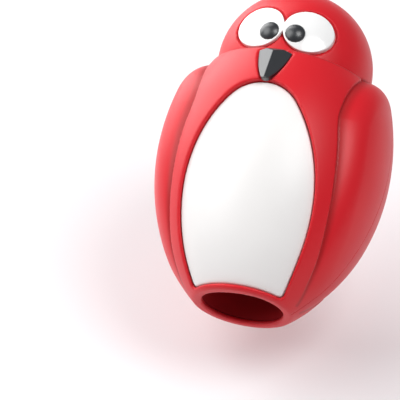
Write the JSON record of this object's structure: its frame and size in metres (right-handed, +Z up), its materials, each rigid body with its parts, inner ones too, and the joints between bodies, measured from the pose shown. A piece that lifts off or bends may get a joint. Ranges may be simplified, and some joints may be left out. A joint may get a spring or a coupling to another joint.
{
  "type": "push button treat dispenser",
  "caption": "Egg-shaped bird figure that stands on a ring: a white belly button is pressed and a gate inside lets small treats fall out of the open bottom.",
  "frame": {"origin": "centre of the underside of the base ring", "axes": "+Z up the long axis from the base ring to the crown, -Y out of the white belly, +X to the figure's left hand side"},
  "size_m": [0.117, 0.1083, 0.1703],
  "materials": {
    "shell": "soft matte red moulding",
    "panel": "satin white moulding",
    "inner_red": "dark red moulding",
    "eye_white": "glossy white",
    "black": "glossy black",
    "steel": "plain steel"
  },
  "bodies": {
    "housing": {"front_shell": "shell", "rear_shell": "shell", "treat_hopper": "inner_red", "outlet_chute": "inner_red", "eye_whites": "eye_white", "pupil_left": "black", "pupil_right": "black", "beak": "black", "eye_push_nuts": "steel", "beak_push_nuts": "steel", "button_spring": "steel", "hopper_screws": "steel", "shell_screws": "steel", "gate_pin": "steel", "gate_pin_clips": "steel", "door_pin": "steel"},
    "button": {"belly_button": "panel", "button_carriage": "panel", "carriage_screws": "steel"},
    "gate": {"gate_flap": "inner_red"},
    "door": {"filler_door": "shell"}
  },
  "joints": [
    {"name": "belly_press", "type": "slide", "parent": "housing", "child": "button", "axis": [0, 1, 0], "range_m": [0, 0.006], "stiffness_N_per_m": 400, "springref_m": -0.004, "deforming": ["button_spring"]},
    {"name": "gate_swing", "type": "hinge", "parent": "housing", "child": "gate", "pos_m": [0, -0.025, 0.046], "axis": [-1, 0, 0], "range_deg": [0, 60]},
    {"name": "door_swing", "type": "hinge", "parent": "housing", "child": "door", "pos_m": [0, 0.05143, 0.084], "axis": [-1, 0, 0], "range_deg": [0, 90]}
  ],
  "couplings": [
    {"joint": "gate_swing", "follows": "belly_press", "rad_per_m": 174.53}
  ]
}
